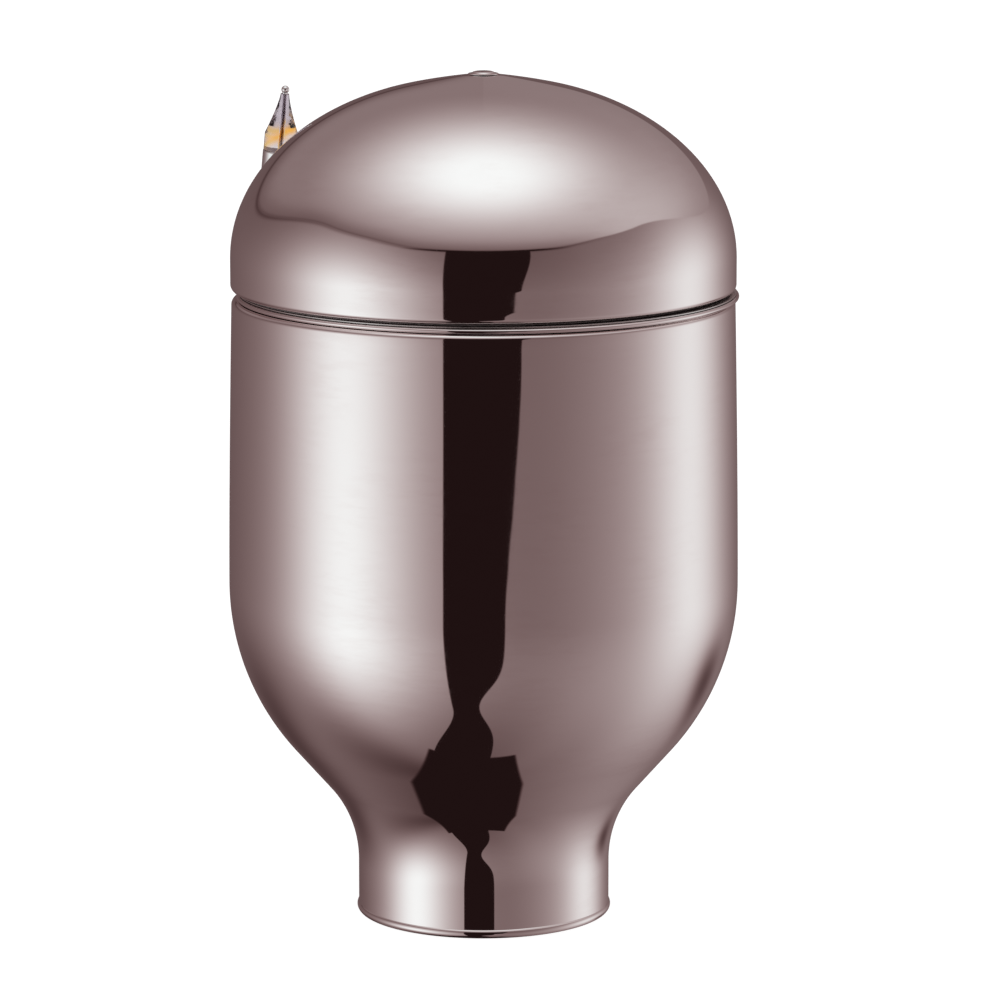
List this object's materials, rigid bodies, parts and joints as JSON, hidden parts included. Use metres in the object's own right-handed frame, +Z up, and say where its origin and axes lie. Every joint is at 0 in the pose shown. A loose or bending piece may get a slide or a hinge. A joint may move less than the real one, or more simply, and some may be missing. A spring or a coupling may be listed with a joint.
{
  "type": "footed soup urn",
  "caption": "Footed round soup urn with a heated water bath, lift-out pot and a domed lid on a rear hinge with a glass-gripped lever.",
  "frame": {"origin": "centre of the base pad's underside, on the surface the urn stands on", "axes": "+Z up along the vessel's axis, +Y to the rear, where the lid hinge and control panel are"},
  "size_m": [0.304, 0.3411, 0.5075],
  "materials": {
    "mirror_steel": "mirror polished",
    "satin_steel": "satin",
    "screw_steel": "plain zinc",
    "chrome": "polished",
    "cast_aluminium": "as cast",
    "element_sheath": "heat darkened",
    "bronze": "satin",
    "black_rubber": "matt",
    "black_plastic": "fine texture",
    "pale_plastic": "smooth",
    "red_plastic": "glossy",
    "amber_lens": "glossy",
    "smoky_glass": "polished, with an amber streak",
    "brown_insulation": "smooth",
    "blue_insulation": "smooth",
    "green_insulation": "smooth"
  },
  "bodies": {
    "base": {"appliance_inlet": "black_plastic", "bail_ear_left": "satin_steel", "bail_ear_right": "satin_steel", "base_pad": "black_rubber", "base_plate": "satin_steel", "base_screw_1": "screw_steel", "base_screw_2": "screw_steel", "base_screw_3": "screw_steel", "base_screw_4": "screw_steel", "body_shell": "mirror_steel", "bracket_backing_plate": "satin_steel", "bracket_screw_1": "screw_steel", "bracket_screw_2": "screw_steel", "clamp_bolt_1": "screw_steel", "clamp_bolt_2": "screw_steel", "clamp_bolt_3": "screw_steel", "control_panel": "satin_steel", "earth_lead": "green_insulation", "element_clamp": "satin_steel", "food_pot": "satin_steel", "heat_spreader": "cast_aluminium", "heater_lead_a": "brown_insulation", "heater_lead_b": "blue_insulation", "heating_element": "element_sheath", "hinge_bracket": "satin_steel", "hinge_pin": "satin_steel", "indicator_lamp": "amber_lens", "inlet_pin_earth": "bronze", "inlet_pin_line": "bronze", "inlet_pin_neutral": "bronze", "line_lead": "brown_insulation", "neutral_lead": "blue_insulation", "panel_screw_1": "screw_steel", "panel_screw_2": "screw_steel", "pin_cap": "satin_steel", "switch_housing": "black_plastic", "terminal_block": "pale_plastic", "thermal_cutout": "pale_plastic", "thermostat": "pale_plastic", "thermostat_nut": "bronze", "water_pan": "mirror_steel"},
    "lid": {"lid_shell": "mirror_steel", "drip_skirt": "satin_steel", "lid_seal": "black_rubber", "top_button": "mirror_steel", "button_washer": "satin_steel", "button_nut": "satin_steel", "lid_leaf": "satin_steel", "leaf_backing_plate": "satin_steel", "leaf_screw_1": "screw_steel", "leaf_screw_2": "screw_steel", "hinge_bush": "bronze", "grip_ferrule": "chrome", "glass_grip": "smoky_glass", "tie_rod": "satin_steel", "tip_ball_nut": "chrome"},
    "knob": {"thermostat_knob": "black_plastic", "knob_shaft": "satin_steel"},
    "rocker": {"rocker": "red_plastic"},
    "bail": {"pot_bail": "satin_steel"}
  },
  "joints": [
    {"name": "lid_hinge", "type": "hinge", "parent": "base", "child": "lid", "pos_m": [0, 0.162, 0.378], "axis": [-1, 0, 0], "range_deg": [0, 100]},
    {"name": "bail_hinge", "type": "hinge", "parent": "base", "child": "bail", "pos_m": [0.00177, -0.00177, 0.3537], "axis": [1, 0, 0], "range_deg": [0, 175]},
    {"name": "thermostat_turn", "type": "hinge", "parent": "base", "child": "knob", "pos_m": [0.0224, 0.05325, 0.0285], "axis": [0, 1, 0], "range_deg": [0, 270]},
    {"name": "rocker_tilt", "type": "hinge", "parent": "base", "child": "rocker", "pos_m": [0.004, 0.05455, 0.0223], "axis": [1, 0, 0], "range_deg": [0, 20]}
  ]
}
